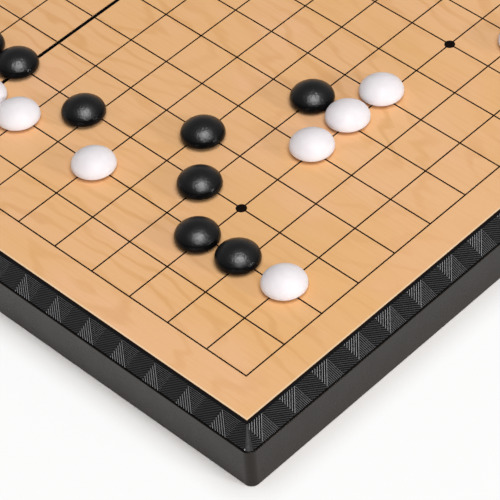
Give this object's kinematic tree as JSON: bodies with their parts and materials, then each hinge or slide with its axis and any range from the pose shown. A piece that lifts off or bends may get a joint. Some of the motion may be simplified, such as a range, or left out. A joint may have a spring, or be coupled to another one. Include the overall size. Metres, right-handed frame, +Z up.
{
  "type": "magnetic go set",
  "caption": "Folding case whose outside is a printed go board over steel, with storage trays under it, a swing latch, link hinges and domed magnetic stones in play.",
  "frame": {"origin": "middle of the seam, on the plane that the open board stands on", "axes": "+X along the seam, +Y across it to the rear half, +Z up out of the play surface"},
  "size_m": [0.287, 0.289, 0.0265],
  "materials": {
    "case_cover": "moulded, fine ribbed texture on the band",
    "case_frame": "moulded, satin",
    "play_print": "wood-grain print, satin laminate",
    "grid_ink": "printed ink",
    "steel_sheet": "plain rolled",
    "tray": "moulded, satin",
    "tray_lid": "moulded, fine grain",
    "screws": "zinc plated",
    "pins": "ground",
    "hinge_links": "moulded, satin",
    "latch": "moulded, satin",
    "black_stone": "moulded, fine satin grain",
    "white_stone": "moulded, satin gloss",
    "magnet": "nickel plated"
  },
  "bodies": {
    "hinge_links": {"hinge_links": "hinge_links"},
    "front_half": {"front_cover": "case_cover", "front_frame": "case_frame", "front_steel_sheet": "steel_sheet", "front_play_sheet": "play_print", "front_grid_print": "grid_ink", "front_storage_tray": "tray", "front_tray_screws": "screws", "front_hinge_pins": "pins", "latch_pivot_pin": "pins"},
    "rear_half": {"rear_cover": "case_cover", "rear_frame": "case_frame", "rear_steel_sheet": "steel_sheet", "rear_play_sheet": "play_print", "rear_grid_print": "grid_ink", "rear_storage_tray": "tray", "rear_tray_screws": "screws", "rear_hinge_pins": "pins"},
    "latch": {"latch_plate": "latch"},
    "front_tray_lid": {"front_tray_lid": "tray_lid"},
    "rear_tray_lid": {"rear_tray_lid": "tray_lid"},
    "black_stone_1": {"black_stone_1": "black_stone", "black_stone_1_magnet": "magnet"},
    "black_stone_2": {"black_stone_2": "black_stone", "black_stone_2_magnet": "magnet"},
    "black_stone_3": {"black_stone_3": "black_stone", "black_stone_3_magnet": "magnet"},
    "black_stone_4": {"black_stone_4": "black_stone", "black_stone_4_magnet": "magnet"},
    "black_stone_5": {"black_stone_5": "black_stone", "black_stone_5_magnet": "magnet"},
    "black_stone_6": {"black_stone_6": "black_stone", "black_stone_6_magnet": "magnet"},
    "black_stone_7": {"black_stone_7": "black_stone", "black_stone_7_magnet": "magnet"},
    "black_stone_8": {"black_stone_8": "black_stone", "black_stone_8_magnet": "magnet"},
    "white_stone_1": {"white_stone_1": "white_stone", "white_stone_1_magnet": "magnet"},
    "white_stone_2": {"white_stone_2": "white_stone", "white_stone_2_magnet": "magnet"},
    "white_stone_3": {"white_stone_3": "white_stone", "white_stone_3_magnet": "magnet"},
    "white_stone_4": {"white_stone_4": "white_stone", "white_stone_4_magnet": "magnet"},
    "white_stone_5": {"white_stone_5": "white_stone", "white_stone_5_magnet": "magnet"},
    "white_stone_6": {"white_stone_6": "white_stone", "white_stone_6_magnet": "magnet"},
    "white_stone_7": {"white_stone_7": "white_stone", "white_stone_7_magnet": "magnet"},
    "white_stone_8": {"white_stone_8": "white_stone", "white_stone_8_magnet": "magnet"}
  },
  "joints": [
    {"name": "front_fold", "type": "hinge", "parent": "hinge_links", "child": "front_half", "pos_m": [0, -0.0032, 0.0029], "axis": [1, 0, 0], "range_deg": [0, 90]},
    {"name": "rear_fold", "type": "hinge", "parent": "hinge_links", "child": "rear_half", "pos_m": [0, 0.0032, 0.0029], "axis": [-1, 0, 0], "range_deg": [0, 90]},
    {"name": "latch_swing", "type": "hinge", "parent": "front_half", "child": "latch", "pos_m": [0, -0.1435, 0.0026], "axis": [1, 0, 0], "range_deg": [0, 180]},
    {"name": "front_lid_pull", "type": "slide", "parent": "front_half", "child": "front_tray_lid", "axis": [0, 0, 1], "range_m": [-0.03, 0]},
    {"name": "rear_lid_pull", "type": "slide", "parent": "rear_half", "child": "rear_tray_lid", "axis": [0, 0, 1], "range_m": [-0.03, 0]},
    {"name": "black_stone_1_lift", "type": "slide", "parent": "front_half", "child": "black_stone_1", "axis": [0, 0, 1], "range_m": [0, 0.02]},
    {"name": "black_stone_2_lift", "type": "slide", "parent": "front_half", "child": "black_stone_2", "axis": [0, 0, 1], "range_m": [0, 0.02]},
    {"name": "black_stone_3_lift", "type": "slide", "parent": "front_half", "child": "black_stone_3", "axis": [0, 0, 1], "range_m": [0, 0.02]},
    {"name": "black_stone_4_lift", "type": "slide", "parent": "front_half", "child": "black_stone_4", "axis": [0, 0, 1], "range_m": [0, 0.02]},
    {"name": "black_stone_5_lift", "type": "slide", "parent": "front_half", "child": "black_stone_5", "axis": [0, 0, 1], "range_m": [0, 0.02]},
    {"name": "black_stone_6_lift", "type": "slide", "parent": "front_half", "child": "black_stone_6", "axis": [0, 0, 1], "range_m": [0, 0.02]},
    {"name": "black_stone_7_lift", "type": "slide", "parent": "front_half", "child": "black_stone_7", "axis": [0, 0, 1], "range_m": [0, 0.02]},
    {"name": "black_stone_8_lift", "type": "slide", "parent": "rear_half", "child": "black_stone_8", "axis": [0, 0, 1], "range_m": [0, 0.02]},
    {"name": "white_stone_1_lift", "type": "slide", "parent": "front_half", "child": "white_stone_1", "axis": [0, 0, 1], "range_m": [0, 0.02]},
    {"name": "white_stone_2_lift", "type": "slide", "parent": "front_half", "child": "white_stone_2", "axis": [0, 0, 1], "range_m": [0, 0.02]},
    {"name": "white_stone_3_lift", "type": "slide", "parent": "front_half", "child": "white_stone_3", "axis": [0, 0, 1], "range_m": [0, 0.02]},
    {"name": "white_stone_4_lift", "type": "slide", "parent": "front_half", "child": "white_stone_4", "axis": [0, 0, 1], "range_m": [0, 0.02]},
    {"name": "white_stone_5_lift", "type": "slide", "parent": "front_half", "child": "white_stone_5", "axis": [0, 0, 1], "range_m": [0, 0.02]},
    {"name": "white_stone_6_lift", "type": "slide", "parent": "front_half", "child": "white_stone_6", "axis": [0, 0, 1], "range_m": [0, 0.02]},
    {"name": "white_stone_7_lift", "type": "slide", "parent": "front_half", "child": "white_stone_7", "axis": [0, 0, 1], "range_m": [0, 0.02]},
    {"name": "white_stone_8_lift", "type": "slide", "parent": "front_half", "child": "white_stone_8", "axis": [0, 0, 1], "range_m": [0, 0.02]}
  ],
  "couplings": [
    {"joint": "rear_fold", "follows": "front_fold", "ratio": 1}
  ]
}
